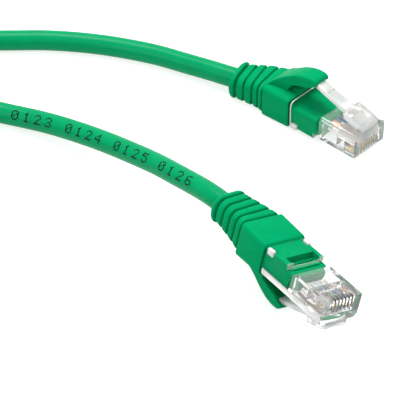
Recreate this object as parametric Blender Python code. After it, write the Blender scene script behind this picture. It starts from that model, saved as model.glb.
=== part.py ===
"""Ethernet patch cable: two clear eight-way plugs with snag-proof ribbed boots on one round cord.

Metres, +Z up, standing on Z = 0. A plug's own frame has its nose face at X = 0, +X out of the nose,
+Y across the row of contacts and +Z towards the latch. Plug A lies latch up, plug B latch down.
"""
import math

import bmesh
import bpy
from mathutils import Euler, Matrix, Vector

MM = 0.001
GAP = 0.3 * MM

# Where the two plugs lie: nose position, then turn about X, Y and Z in degrees.
PLUG_A_NOSE = Vector((18.41, 20.82, 2.4)) * MM
PLUG_A_TURN = (0.0, 0.0, -43.65)
PLUG_B_NOSE = Vector((8.31, -49.08, 15.0)) * MM
PLUG_B_TURN = (165.5, 0.0, -53.8)

# Clear housing.
BODY_HALF_WIDTH = 5.85 * MM
BODY_HEIGHT = 6.6 * MM
BODY_LENGTH = 22.0 * MM
REAR_STEP_X = -14.0 * MM
REAR_STEP_DEPTH = 1.4 * MM
NOSE_CHAMFER = 0.25 * MM
TOP_EDGE_RADIUS = 1.1 * MM
CORE_FRONT_X = -8.8 * MM
CORE_STEP_X = -17.2 * MM
CORE_HALF_WIDTH = 4.3 * MM
CRIMP_POCKET_REAR_X = -16.6 * MM
CRIMP_POCKET_HALF_WIDTH = 3.9 * MM

# Contacts and wires.
WAYS = 8
PITCH = 1.02 * MM
BLADE_THICKNESS = 0.35 * MM
BLADE_FRONT_X = -0.9 * MM
BLADE_REAR_X = -3.7 * MM
BLADE_EDGE_Z = 0.3 * MM
BLADE_TIP_Z = 3.2 * MM
CONTACT_POCKET_LENGTH = 5.0 * MM
CONTACT_POCKET_HALF_WIDTH = 4.1 * MM
WIRE_RADIUS = 0.36 * MM
WIRE_Z = 3.9 * MM
WIRE_FRONT_X = -1.3 * MM

# Latch: a lever on a living hinge at the nose.
LATCH_PIVOT = Vector((-0.9, 0.0, 7.5)) * MM
LATCH_EDGE_RADIUS = 0.12 * MM
# Stations in mm: X, half width, lower face, upper face.
LATCH_STATIONS = (
    (-18.8, 1.4, 12.1, 12.85),
    (-18.4, 1.65, 11.8, 12.9),
    (-6.9, 1.65, 8.25, 9.75),
    (-6.6, 3.1, 8.15, 10.2),
    (-2.2, 3.1, 7.0, 9.2),
    (-1.2, 3.1, 6.95, 8.8),
    (-0.5, 3.1, 6.98, 8.4),
    (-0.1, 3.1, 7.2, 7.9),
)

# Boot: block behind the housing, inner core, ribbed tail.
BLOCK_FRONT_X = -BODY_LENGTH - GAP
BLOCK_REAR_X = -31.4 * MM
BLOCK_HALF_WIDTH = 6.1 * MM
BLOCK_TOP_Z = 6.8 * MM
TAIL_RIBS = 5
RIB_LENGTH = 1.8 * MM
GROOVE_LENGTH = 0.75 * MM
TAIL_BEND_A = -17.0
TAIL_BEND_B = 5.0
TAIL_BEND_SHARE = 0.4
TAIL_FRONT_HALF_WIDTH = 5.75 * MM
TAIL_TAPER = 1.5 * MM
TAIL_LOW_Z = -2.3 * MM
TAIL_FRONT_HIGH_Z = 6.1 * MM
TAIL_DROP = 2.0 * MM
GROOVE_DEPTH = 0.75 * MM
COLLAR_EXTRA_WIDTH = 0.25 * MM
COLLAR_EXTRA_HEIGHT = 0.35 * MM
RIB_EDGE = 0.2 * MM

# Hood: an arm over the latch's free end, hinged at its root on the boot.
HOOD_PIVOT = Vector((-30.5, 0.0, 7.6)) * MM
HOOD_HALF_WIDTH = 2.7 * MM
HOOD_CHANNEL_HALF_WIDTH = 1.95 * MM
PEDESTAL_HALF_WIDTH = 1.6 * MM
# Side outlines in mm: X, Z.
HOOD_OUTLINE = (
    (-31.2, 7.2),
    (-29.0, 7.7),
    (-22.6, 9.8),
    (-19.0, 11.0),
    (-17.1, 12.4),
    (-16.6, 12.9),
    (-16.8, 13.5),
    (-17.7, 13.9),
    (-19.2, 13.95),
    (-21.4, 13.5),
    (-23.8, 12.5),
    (-26.1, 11.1),
    (-28.4, 9.5),
    (-29.8, 8.6),
    (-31.2, 8.0),
)
HOOD_CHANNEL_OUTLINE = (
    (-28.8, 7.0),
    (-15.0, 7.0),
    (-15.0, 12.2),
    (-16.6, 12.7),
    (-18.1, 13.2),
    (-19.4, 13.2),
    (-21.6, 12.5),
    (-24.2, 11.3),
    (-26.4, 9.8),
    (-28.2, 8.5),
    (-28.8, 8.2),
)
PEDESTAL_OUTLINE = (
    (-29.4, 5.8),
    (-22.8, 5.8),
    (-22.8, 9.2),
    (-25.4, 8.8),
    (-29.4, 6.9),
)

# Cord and coil.
CORD_RADIUS = 2.75 * MM
COIL_CENTRE = Vector((-138.3, 33.6, 0.0)) * MM
COIL_OUTER_TURN = 33.5 * MM
COIL_INNER_TURN = 22.9 * MM
COIL_BASE_Z = 1.1 * MM
COIL_LAYER_RISE = 5.6 * MM
TIE_ANGLES = (150.0, -75.0)
TIE_THICKNESS = 0.8 * MM
TIE_WIDTH = 6.0 * MM

# The cord's route over the surface where it is not coiled, from each boot to the coil.
ROUTE_A = [
    Vector(p) * MM
    for p in (
        (-15.66, 49.03, 3.9),
        (-18.2, 50.4, 3.85),
        (-20.4, 51.7, 3.75),
        (-28.0, 56.1, 3.2),
        (-37.8, 61.1, 2.85),
        (-51.3, 65.2, 2.75),
        (-64.8, 67.1, 2.75),
        (-78.2, 67.1, 2.75),
        (-97.9, 67.1, 2.9),
        (-118.5, 67.1, 3.6),
    )
]
ROUTE_B = [
    Vector(p) * MM
    for p in (
        (-19.1, -13.82, 13.8),
        (-21.6, -10.9, 13.7),
        (-24.5, -7.2, 13.0),
        (-30.5, -0.2, 11.5),
        (-36.8, 7.2, 9.6),
        (-49.7, 19.7, 6.3),
        (-62.9, 29.4, 3.9),
        (-76.2, 35.5, 2.85),
        (-83.6, 37.3, 4.0),
        (-89.5, 37.1, 5.3),
        (-96.8, 34.4, 7.3),
        (-99.36, 32.68, 8.1),
    )
]

WIRE_COLOURS = {
    "white_orange": (0.86, 0.62, 0.42),
    "orange": (0.85, 0.33, 0.05),
    "white_green": (0.62, 0.80, 0.62),
    "blue": (0.05, 0.15, 0.55),
    "white_blue": (0.62, 0.70, 0.86),
    "green": (0.02, 0.38, 0.16),
    "white_brown": (0.72, 0.60, 0.50),
    "brown": (0.28, 0.14, 0.06),
}


def clear_scene():
    """Remove every object that the session starts with."""
    for obj in list(bpy.data.objects):
        bpy.data.objects.remove(obj, do_unlink=True)


def material(name, colour, roughness, metallic=0.0, alpha=1.0):
    """A Principled material of one plain colour."""
    mat = bpy.data.materials.new(name)
    mat.use_nodes = True
    shader = mat.node_tree.nodes["Principled BSDF"]
    shader.inputs["Base Color"].default_value = (*colour, 1.0)
    shader.inputs["Roughness"].default_value = roughness
    shader.inputs["Metallic"].default_value = metallic
    shader.inputs["Alpha"].default_value = alpha
    mat.diffuse_color = (*colour, alpha)
    return mat


def add_object(name, mesh, parent=None, location=(0.0, 0.0, 0.0), mat=None):
    """Link a mesh into the scene under its parent, with its material."""
    obj = bpy.data.objects.new(name, mesh)
    bpy.context.scene.collection.objects.link(obj)
    obj.parent = parent
    obj.location = location
    if mat and not mesh.materials:
        mesh.materials.append(mat)
    return obj


def add_empty(name, location, turn_degrees=(0.0, 0.0, 0.0), parent=None):
    """An empty that carries the pieces placed in its frame."""
    empty = bpy.data.objects.new(name, None)
    bpy.context.scene.collection.objects.link(empty)
    empty.parent = parent
    empty.location = location
    empty.rotation_euler = Euler([math.radians(a) for a in turn_degrees])
    return empty


def section(half_width, low, high, low_radius, high_radius, steps=3):
    """A rounded rectangle in Y and Z, anticlockwise seen from +X, with its own radius below and above."""
    corners = (
        (half_width - low_radius, low + low_radius, low_radius, -90.0),
        (half_width - high_radius, high - high_radius, high_radius, 0.0),
        (high_radius - half_width, high - high_radius, high_radius, 90.0),
        (low_radius - half_width, low + low_radius, low_radius, 180.0),
    )
    points = []
    for y, z, radius, start in corners:
        for step in range(steps + 1):
            angle = math.radians(start + 90.0 * step / steps)
            points.append((y + radius * math.cos(angle), z + radius * math.sin(angle)))
    return points


def loft(name, stations):
    """A closed solid through sections. A station is a frame matrix and its Y, Z outline."""
    bm = bmesh.new()
    rings = []
    for frame, outline in stations:
        rings.append([bm.verts.new(frame @ Vector((0.0, y, z))) for y, z in outline])
    for back, front in zip(rings, rings[1:]):
        count = len(back)
        for i in range(count):
            j = (i + 1) % count
            bm.faces.new((back[i], back[j], front[j], front[i]))
    bm.faces.new(rings[0][::-1])
    bm.faces.new(rings[-1])
    return finish_mesh(name, bm)


def finish_mesh(name, bm):
    """Turn a bmesh into a mesh whose faces point out and whose round stretches are smooth."""
    bmesh.ops.recalc_face_normals(bm, faces=bm.faces)
    mesh = bpy.data.meshes.new(name)
    bm.to_mesh(mesh)
    bm.free()
    mesh.shade_smooth()
    mesh.set_sharp_from_angle(angle=math.radians(35.0))
    return mesh


def at(x):
    """The frame of an upright station at X."""
    return Matrix.Translation((x, 0.0, 0.0))


def in_metres(outline):
    """An outline given in mm, in metres."""
    return [(x * MM, z * MM) for x, z in outline]


def extruded(name, outline, half_width, origin=Vector()):
    """A solid from an X, Z outline extruded across Y, kept relative to its origin."""
    bm = bmesh.new()
    verts = [bm.verts.new(Vector((x, -half_width, z)) - origin) for x, z in outline]
    face = bm.faces.new(verts)
    side = bmesh.ops.extrude_face_region(bm, geom=[face])
    moved = [v for v in side["geom"] if isinstance(v, bmesh.types.BMVert)]
    bmesh.ops.translate(bm, verts=moved, vec=(0.0, 2.0 * half_width, 0.0))
    return finish_mesh(name, bm)


def block(name, x_range, half_width, z_range):
    """A plain box solid, used to cut."""
    (x0, x1), (z0, z1) = x_range, z_range
    return extruded(name, [(x0, z0), (x1, z0), (x1, z1), (x0, z1)], half_width)


def combined(name, base, tools, operation):
    """Apply one Boolean for each tool mesh to the base mesh and give the result as a new mesh."""
    body = add_object(name, base)
    helpers = []
    for tool in tools:
        helper = add_object(tool.name, tool)
        modifier = body.modifiers.new(tool.name, "BOOLEAN")
        modifier.operation = operation
        modifier.object = helper
        helpers.append(helper)
    view = bpy.context.evaluated_depsgraph_get()
    mesh = bpy.data.meshes.new_from_object(body.evaluated_get(view))
    mesh.name = name
    for obj in [body, *helpers]:
        bpy.data.objects.remove(obj, do_unlink=True)
    return mesh


def housing_mesh():
    """Clear body with a deeper rear end, hollow for the boot's core, the wires and the contacts."""
    front = section(BODY_HALF_WIDTH, 0.0, BODY_HEIGHT, 0.3 * MM, TOP_EDGE_RADIUS)
    nose = section(
        BODY_HALF_WIDTH - NOSE_CHAMFER,
        NOSE_CHAMFER,
        BODY_HEIGHT - NOSE_CHAMFER,
        0.3 * MM,
        TOP_EDGE_RADIUS,
    )
    rear = section(BODY_HALF_WIDTH, -REAR_STEP_DEPTH, BODY_HEIGHT, 0.5 * MM, TOP_EDGE_RADIUS)
    body = loft(
        "housing_body",
        [
            (at(-BODY_LENGTH), rear),
            (at(REAR_STEP_X - 0.4 * MM), rear),
            (at(REAR_STEP_X), front),
            (at(-NOSE_CHAMFER), front),
            (at(0.0), nose),
        ],
    )
    core_room = CORE_HALF_WIDTH + GAP
    cuts = [
        block("rear_room", (-BODY_LENGTH - 1.0 * MM, CORE_STEP_X + GAP), core_room, (-0.8 * MM, 5.9 * MM)),
        block("front_room", (CORE_STEP_X - 1.0 * MM, CORE_FRONT_X + GAP), core_room, (1.0 * MM, 5.9 * MM)),
        block(
            "wire_room",
            (CORE_FRONT_X - 0.5 * MM, -1.0 * MM),
            CONTACT_POCKET_HALF_WIDTH,
            (WIRE_Z - WIRE_RADIUS - GAP, WIRE_Z + WIRE_RADIUS + GAP),
        ),
        block(
            "contact_room",
            (-CONTACT_POCKET_LENGTH, 1.0 * MM),
            CONTACT_POCKET_HALF_WIDTH - 0.1 * MM,
            (-1.0 * MM, WIRE_Z),
        ),
        block(
            "crimp_room",
            (CRIMP_POCKET_REAR_X, REAR_STEP_X + 1.0 * MM),
            CRIMP_POCKET_HALF_WIDTH,
            (-3.0 * MM, 0.1 * MM),
        ),
    ]
    return combined("housing", body, cuts, "DIFFERENCE")


def contact_mesh():
    """One blade: rounded edge at the contact face, two prongs towards its wire."""
    front, rear = BLADE_FRONT_X, BLADE_REAR_X
    span = front - rear
    outline = [
        (rear + 0.25 * MM, BLADE_EDGE_Z),
        (front - 0.35 * MM, BLADE_EDGE_Z),
        (front - 0.1 * MM, BLADE_EDGE_Z + 0.1 * MM),
        (front, BLADE_EDGE_Z + 0.4 * MM),
        (front, BLADE_TIP_Z - 0.7 * MM),
        (front - 0.2 * span, BLADE_TIP_Z),
        (front - 0.4 * span, BLADE_TIP_Z - 0.7 * MM),
        (front - 0.6 * span, BLADE_TIP_Z - 0.7 * MM),
        (front - 0.8 * span, BLADE_TIP_Z),
        (rear, BLADE_TIP_Z - 0.7 * MM),
        (rear, BLADE_EDGE_Z + 0.25 * MM),
    ]
    return extruded("contact", outline, BLADE_THICKNESS / 2)


def wire_mesh():
    """One insulated conductor from the boot's core to the nose, turned about its own line."""
    rear_x = CORE_FRONT_X + GAP
    middle = Matrix.Translation(((WIRE_FRONT_X + rear_x) / 2, 0.0, WIRE_Z))
    bm = bmesh.new()
    bmesh.ops.create_cone(
        bm,
        cap_ends=True,
        segments=10,
        radius1=WIRE_RADIUS,
        radius2=WIRE_RADIUS,
        depth=WIRE_FRONT_X - rear_x,
        matrix=middle @ Matrix.Rotation(math.pi / 2, 4, "Y"),
    )
    return finish_mesh("wire", bm)


def latch_mesh():
    """Latch: round root at the nose, wide part up to the shoulders, narrow lever behind them."""
    offset = Matrix.Translation(-LATCH_PIVOT)
    stations = []
    for x, half_width, low, high in LATCH_STATIONS:
        outline = section(half_width * MM, low * MM, high * MM, LATCH_EDGE_RADIUS, LATCH_EDGE_RADIUS, 1)
        stations.append((offset @ at(x * MM), outline))
    return loft("latch", stations)


def tail_frame(distance, bend_degrees):
    """The frame of a tail station: the tail bends sideways near the block, then runs straight."""
    bend_length = TAIL_BEND_SHARE * TAIL_RIBS * (RIB_LENGTH + GROOVE_LENGTH)
    radius = bend_length / math.radians(bend_degrees)
    angle = min(distance, bend_length) / radius
    straight = max(distance - bend_length, 0.0)
    along = radius * math.sin(angle) + straight * math.cos(angle)
    across = radius * (1.0 - math.cos(angle)) + straight * math.sin(angle)
    return Matrix.Translation((BLOCK_REAR_X - along, across, 0.0)) @ Matrix.Rotation(-angle, 4, "Z")


def boot_mesh(name, bend_degrees):
    """Boot: ribbed tail, block and the core inside the housing, with a pedestal under the hood."""
    length = TAIL_RIBS * (RIB_LENGTH + GROOVE_LENGTH)
    stations = []
    for rib in range(TAIL_RIBS):
        start = rib * (RIB_LENGTH + GROOVE_LENGTH)
        share = start / length
        collar = 1.0 if rib == TAIL_RIBS - 1 else 0.0
        half_width = TAIL_FRONT_HALF_WIDTH - TAIL_TAPER * share + COLLAR_EXTRA_WIDTH * collar
        high = TAIL_FRONT_HIGH_Z - TAIL_DROP * share + COLLAR_EXTRA_HEIGHT * collar
        radius = (1.6 + 1.2 * share) * MM
        groove = section(
            half_width - GROOVE_DEPTH, TAIL_LOW_Z + GROOVE_DEPTH, high - GROOVE_DEPTH, radius, radius
        )
        ridge = section(half_width, TAIL_LOW_Z, high, radius, radius)
        stations += [
            (tail_frame(start, bend_degrees), groove),
            (tail_frame(start + GROOVE_LENGTH, bend_degrees), groove),
            (tail_frame(start + GROOVE_LENGTH + RIB_EDGE, bend_degrees), ridge),
            (tail_frame(start + GROOVE_LENGTH + RIB_LENGTH - RIB_EDGE, bend_degrees), ridge),
        ]
    stations.append((tail_frame(length, bend_degrees), groove))
    stations.reverse()
    rear = section(BLOCK_HALF_WIDTH, -2.4 * MM, BLOCK_TOP_Z, 1.2 * MM, 1.4 * MM)
    front = section(BLOCK_HALF_WIDTH, -1.8 * MM, BLOCK_TOP_Z, 1.0 * MM, 1.2 * MM)
    core_rear = section(CORE_HALF_WIDTH, -0.5 * MM, 5.6 * MM, 0.8 * MM, 0.8 * MM)
    core_front = section(CORE_HALF_WIDTH, 1.3 * MM, 5.6 * MM, 0.8 * MM, 0.8 * MM)
    stations += [
        (at(BLOCK_REAR_X + 0.01 * MM), rear),
        (at(BLOCK_FRONT_X - 0.01 * MM), front),
        (at(BLOCK_FRONT_X), core_rear),
        (at(CORE_STEP_X - 0.01 * MM), core_rear),
        (at(CORE_STEP_X), core_front),
        (at(CORE_FRONT_X), core_front),
    ]
    body = loft(name + "_body", stations)
    pedestal = extruded(name + "_pedestal", in_metres(PEDESTAL_OUTLINE), PEDESTAL_HALF_WIDTH)
    return combined(name, body, [pedestal], "UNION")


def hood_mesh():
    """Hood: a curved arm from the boot over the latch, hollow below so that the lever runs inside."""
    arm = extruded("hood_arm", in_metres(HOOD_OUTLINE), HOOD_HALF_WIDTH, HOOD_PIVOT)
    room = extruded("hood_room", in_metres(HOOD_CHANNEL_OUTLINE), HOOD_CHANNEL_HALF_WIDTH, HOOD_PIVOT)
    return combined("hood", arm, [room], "DIFFERENCE")


def smooth_route(points, spacing):
    """Points evenly along a Catmull-Rom curve through the route's own points."""
    first = points[0] * 2.0 - points[1]
    last = points[-1] * 2.0 - points[-2]
    ends = [first, *points, last]
    fine = []
    steps = 24
    for p0, p1, p2, p3 in zip(ends, ends[1:], ends[2:], ends[3:]):
        for step in range(steps):
            t = step / steps
            fine.append(
                0.5
                * (
                    2.0 * p1
                    + (p2 - p0) * t
                    + (2.0 * p0 - 5.0 * p1 + 4.0 * p2 - p3) * t**2
                    + (3.0 * p1 - p0 - 3.0 * p2 + p3) * t**3
                )
            )
    fine.append(points[-1])
    lengths = [0.0]
    for a, b in zip(fine, fine[1:]):
        lengths.append(lengths[-1] + (b - a).length)
    count = max(2, round(lengths[-1] / spacing))
    even = []
    index = 0
    for i in range(count + 1):
        goal = lengths[-1] * i / count
        while index < len(lengths) - 2 and lengths[index + 1] < goal:
            index += 1
        share = (goal - lengths[index]) / (lengths[index + 1] - lengths[index])
        even.append(fine[index].lerp(fine[index + 1], share))
    return even


def add_tube(name, points, mat):
    """A round cord as a curve with a bevel and filled caps."""
    curve = bpy.data.curves.new(name, "CURVE")
    curve.dimensions = "3D"
    spline = curve.splines.new("POLY")
    spline.points.add(len(points) - 1)
    for target, point in zip(spline.points, points):
        target.co = (*point, 1.0)
    curve.bevel_depth = CORD_RADIUS
    curve.bevel_resolution = 3
    curve.use_fill_caps = True
    curve.materials.append(mat)
    obj = bpy.data.objects.new(name, curve)
    bpy.context.scene.collection.objects.link(obj)
    return obj


def turned(name, profile, steps):
    """A ring turned about Z from a closed outline of radius and height."""
    bm = bmesh.new()
    rings = []
    for step in range(steps):
        angle = 2.0 * math.pi * step / steps
        turn = Matrix.Rotation(angle, 3, "Z")
        rings.append([bm.verts.new(turn @ Vector((r, 0.0, z))) for r, z in profile])
    for this, following in zip(rings, rings[1:] + rings[:1]):
        count = len(profile)
        for i in range(count):
            j = (i + 1) % count
            bm.faces.new((this[i], this[j], following[j], following[i]))
    return finish_mesh(name, bm)


def coil_section():
    """Half-size, centre and edge radius of the wound coil's cross-section."""
    half_width = (COIL_OUTER_TURN - COIL_INNER_TURN) / 2 + CORD_RADIUS
    height = COIL_LAYER_RISE + 2.0 * CORD_RADIUS
    return half_width, height, (COIL_OUTER_TURN + COIL_INNER_TURN) / 2


def coil_mesh():
    """The coil's outer shape: two flat layers of turns, as one ring with rounded edges."""
    half_width, height, middle = coil_section()
    outline = section(half_width, COIL_BASE_Z, COIL_BASE_Z + height, CORD_RADIUS * 0.9, CORD_RADIUS * 0.9)
    return turned("coil", [(middle + y, z) for y, z in outline], 48)


def tie_mesh():
    """One strap round the coil's section, open through the middle."""
    half_width, height, middle = coil_section()
    outer = half_width + GAP + TIE_THICKNESS
    inner = half_width + GAP
    top = COIL_BASE_Z + height + GAP
    radius = 1.2 * MM
    bm = bmesh.new()
    loops = []
    for x in (-TIE_WIDTH / 2, TIE_WIDTH / 2):
        for half, low, high in ((outer, 0.0, top + TIE_THICKNESS), (inner, TIE_THICKNESS, top)):
            outline = section(half, low, high, radius, radius, 2)
            loops.append([bm.verts.new((x, middle + y, z)) for y, z in outline])
    outer_back, inner_back, outer_front, inner_front = loops
    for first, second in (
        (outer_back, outer_front),
        (outer_front, inner_front),
        (inner_front, inner_back),
        (inner_back, outer_back),
    ):
        count = len(first)
        for i in range(count):
            j = (i + 1) % count
            bm.faces.new((first[i], first[j], second[j], second[i]))
    return finish_mesh("tie", bm)


def build_plug(letter, nose, turn_degrees, bend_degrees, meshes, mats):
    """Place one whole plug under its own empty. Latch and hood turn about their own origins."""
    plug = add_empty(f"plug_{letter}", nose, turn_degrees)
    add_object(f"housing_{letter}", meshes["housing"], plug, mat=mats["clear"])
    add_object(f"latch_{letter}", meshes["latch"], plug, LATCH_PIVOT, mats["clear_latch"])
    boot = boot_mesh(f"boot_{letter}", bend_degrees)
    add_object(f"boot_{letter}", boot, plug, mat=mats["boot"])
    add_object(f"hood_{letter}", meshes["hood"], plug, HOOD_PIVOT, mats["hood"])
    for way, colour in enumerate(WIRE_COLOURS):
        across = (0.0, (way - (WAYS - 1) / 2) * PITCH, 0.0)
        add_object(f"contact_{letter}_{way + 1}", meshes["contact"], plug, across, mats["gold"])
        wire = meshes["wire"].copy()
        add_object(f"wire_{letter}_{colour}", wire, plug, across, mats[colour])


def build():
    """Build the whole cable: two plugs, the cord's two legs, the coil and its ties."""
    clear_scene()
    mats = {
        "clear": material("clear_polycarbonate", (0.86, 0.88, 0.87), 0.08, alpha=0.35),
        "clear_latch": material("clear_latch", (0.88, 0.90, 0.89), 0.10, alpha=0.45),
        "boot": material("green_boot", (0.0, 0.38, 0.13), 0.42),
        "hood": material("green_hood", (0.0, 0.38, 0.14), 0.42),
        "jacket": material("green_jacket", (0.0, 0.35, 0.15), 0.32),
        "gold": material("contact_gold", (0.75, 0.56, 0.22), 0.28, metallic=1.0),
        "tie": material("black_tie", (0.02, 0.02, 0.02), 0.5),
    }
    for name, colour in WIRE_COLOURS.items():
        mats[name] = material(f"wire_{name}", colour, 0.45)
    meshes = {
        "housing": housing_mesh(),
        "latch": latch_mesh(),
        "hood": hood_mesh(),
        "contact": contact_mesh(),
        "wire": wire_mesh(),
    }
    build_plug("a", PLUG_A_NOSE, PLUG_A_TURN, TAIL_BEND_A, meshes, mats)
    build_plug("b", PLUG_B_NOSE, PLUG_B_TURN, TAIL_BEND_B, meshes, mats)
    spacing = 4.0 * CORD_RADIUS
    add_tube("jacket_leg_a", smooth_route(ROUTE_A, spacing), mats["jacket"])
    add_tube("jacket_leg_b", smooth_route(ROUTE_B, spacing), mats["jacket"])
    add_object("jacket_coil", coil_mesh(), None, COIL_CENTRE, mats["jacket"])
    tie = tie_mesh()
    for number, angle in enumerate(TIE_ANGLES, start=1):
        strap = add_object(f"coil_tie_{number}", tie, None, COIL_CENTRE, mats["tie"])
        strap.rotation_euler = (0.0, 0.0, math.radians(angle - 90.0))


build()
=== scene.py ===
"""Ethernet patch cable on a white table: two clear plugs with green snag-proof boots on one cord.

The plugs are modelled in mm in their own frame, as in the CAD: the nose face at X = 0 with +X out of
the nose, +Y across the row of contacts and +Z towards the latch.
"""

import math

import bmesh
import bpy
import numpy as np
from mathutils import Euler, Matrix, Vector


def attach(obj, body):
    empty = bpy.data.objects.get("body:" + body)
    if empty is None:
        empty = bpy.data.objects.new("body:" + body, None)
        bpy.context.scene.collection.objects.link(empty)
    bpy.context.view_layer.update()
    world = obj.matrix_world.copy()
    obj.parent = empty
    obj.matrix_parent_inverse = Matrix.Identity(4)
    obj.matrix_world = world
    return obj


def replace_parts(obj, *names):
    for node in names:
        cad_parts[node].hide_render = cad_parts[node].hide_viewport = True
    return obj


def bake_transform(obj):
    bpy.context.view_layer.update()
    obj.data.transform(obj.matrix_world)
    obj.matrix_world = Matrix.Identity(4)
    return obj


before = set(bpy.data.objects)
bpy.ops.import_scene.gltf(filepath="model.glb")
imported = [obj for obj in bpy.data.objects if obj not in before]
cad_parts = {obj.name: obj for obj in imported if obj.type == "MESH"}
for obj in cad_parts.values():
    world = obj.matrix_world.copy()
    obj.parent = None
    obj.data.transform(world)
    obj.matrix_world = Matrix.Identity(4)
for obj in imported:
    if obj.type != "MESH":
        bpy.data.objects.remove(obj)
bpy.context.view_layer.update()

MM = 0.001


def turned(x, y, z):
    """A rotation matrix from angles in degrees."""
    return Euler([math.radians(a) for a in (x, y, z)]).to_matrix().to_4x4()


PLUGS = {
    "a": Matrix.Translation(Vector((18.41, 20.82, 2.4)) * MM) @ turned(0.0, 0.0, -43.65),
    "b": Matrix.Translation(Vector((8.31, -49.08, 15.0)) * MM) @ turned(165.5, 0.0, -53.8),
}
TAIL_BEND = {"a": -17.0, "b": 5.0}

CORD_RADIUS = 2.75
COIL_CENTRE = Vector((-138.3, 33.6, 0.0))
COIL_OUTER_TURN = 33.5
COIL_INNER_TURN = 22.9
COIL_LOW_Z = 3.85
COIL_HIGH_Z = 9.45
COIL_START_ANGLE = 90.0
COIL_END_ANGLE = -19.4
COIL_FULL_TURNS = 4
COIL_CLIMB_TURNS = 0.24
COIL_EXIT = Vector((-102.7, 29.4, 8.9))
CORD_IN_BOOT = 2.0
CORD_STEP = 2.5
CORD_SIDES = 28
TIE_ANGLES = (150.0, -75.0)
TIE_HALF_WIDTH = 3.0
TIE_THICKNESS = 0.5
TIE_CORNER_RADIUS = 2.4
TIE_LAP_POINTS = 10
TIE_ROUND_END = 2.0

# The cord's route over the table, in metres, from each boot to the coil.
ROUTE_A = [
    (-0.01566, 0.04903, 0.0039),
    (-0.0182, 0.0504, 0.00385),
    (-0.0204, 0.0517, 0.00375),
    (-0.0280, 0.0561, 0.0032),
    (-0.0378, 0.0611, 0.00285),
    (-0.0513, 0.0652, 0.00275),
    (-0.0648, 0.0671, 0.00275),
    (-0.0782, 0.0671, 0.00275),
    (-0.0979, 0.0671, 0.0029),
    (-0.1185, 0.0671, 0.0036),
]
ROUTE_B = [
    (-0.0191, -0.01382, 0.0138),
    (-0.0216, -0.0109, 0.0137),
    (-0.0245, -0.0072, 0.0130),
    (-0.0305, -0.0002, 0.0115),
    (-0.0368, 0.0072, 0.0096),
    (-0.0497, 0.0197, 0.0063),
    (-0.0629, 0.0294, 0.0039),
    (-0.0762, 0.0355, 0.00285),
    (-0.0836, 0.0373, 0.0040),
    (-0.0895, 0.0371, 0.0053),
    (-0.0968, 0.0344, 0.0073),
    (-0.09936, 0.03268, 0.0081),
]


# ---------------------------------------------------------------- camera and light
CAMERA_TARGET = Vector((-0.02449, 0.00362, 0.0))
CAMERA_DISTANCE = 0.580
CAMERA_ELEVATION = math.radians(40.0)
SENSOR_WIDTH_MM = 36.0
LENS_MM = 209.9

# Each light's place, size and power.
LIGHTS = {
    "overhead": ((-0.10, 0.30, 0.75), 0.40, 6.5),
    "front_left": ((-0.55, -0.45, 0.45), 0.5, 1.6),
    "right": ((0.65, 0.05, 0.40), 0.4, 0.8),
}
TABLE_HALF_SIZE = 4.0
TABLE_SHADE = 0.62
TABLE_GLOW = 0.72
WORLD_GLOW = 0.8
WORLD_GLOW_ON_MATT = 0.5


def add_camera():
    """Long lens, looking along +Y from 40 degrees above the table."""
    forward = Vector((0.0, math.cos(CAMERA_ELEVATION), -math.sin(CAMERA_ELEVATION)))
    data = bpy.data.cameras.new("camera")
    data.sensor_width = SENSOR_WIDTH_MM
    data.lens = LENS_MM
    camera = bpy.data.objects.new("camera", data)
    bpy.context.scene.collection.objects.link(camera)
    camera.location = CAMERA_TARGET - forward * CAMERA_DISTANCE
    camera.rotation_euler = forward.to_track_quat("-Z", "Y").to_euler()
    bpy.context.scene.camera = camera


def add_area_light(name, location, size, power):
    """A square soft light aimed at the camera's target."""
    data = bpy.data.lights.new(name, "AREA")
    data.shape = "SQUARE"
    data.size = size
    data.energy = power
    light = bpy.data.objects.new(name, data)
    bpy.context.scene.collection.objects.link(light)
    light.location = location
    aim = CAMERA_TARGET - Vector(location)
    light.rotation_euler = aim.to_track_quat("-Z", "Y").to_euler()


def dim_for_diffuse(tree, socket, full, dimmed):
    """A strength that clear and glossy surfaces see in full, and that lights matt ones less."""
    diffuse = tree.nodes.new("ShaderNodeLightPath").outputs["Is Diffuse Ray"]
    strength = tree.nodes.new("ShaderNodeMath")
    strength.operation = "MULTIPLY_ADD"
    strength.inputs[1].default_value = dimmed - full
    strength.inputs[2].default_value = full
    tree.links.new(diffuse, strength.inputs[0])
    tree.links.new(strength.outputs[0], socket)


def add_stage():
    """White table, white surroundings and soft lights."""
    bm = bmesh.new()
    bmesh.ops.create_grid(bm, x_segments=1, y_segments=1, size=TABLE_HALF_SIZE)
    mesh = bpy.data.meshes.new("table")
    bm.to_mesh(mesh)
    bm.free()
    table = bpy.data.objects.new("table", mesh)
    bpy.context.scene.collection.objects.link(table)
    mat = bpy.data.materials.new("table_white")
    mat.use_nodes = True
    shader = mat.node_tree.nodes["Principled BSDF"]
    shader.inputs["Base Color"].default_value = rgba([TABLE_SHADE] * 3)
    shader.inputs["Roughness"].default_value = 0.9
    shader.inputs["Specular IOR Level"].default_value = 0.1
    shader.inputs["Emission Color"].default_value = (1.0, 1.0, 1.0, 1.0)
    dim_for_diffuse(mat.node_tree, shader.inputs["Emission Strength"], TABLE_GLOW, 0.0)
    mesh.materials.append(mat)

    world = bpy.data.worlds.new("white_surroundings")
    world.use_nodes = True
    background = world.node_tree.nodes["Background"]
    background.inputs["Color"].default_value = (1.0, 1.0, 1.0, 1.0)
    dim_for_diffuse(world.node_tree, background.inputs["Strength"], WORLD_GLOW, WORLD_GLOW_ON_MATT)
    scene = bpy.context.scene
    scene.world = world
    scene.view_settings.view_transform = "Standard"
    for name, (location, size, power) in LIGHTS.items():
        add_area_light(name, location, size, power)


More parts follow.
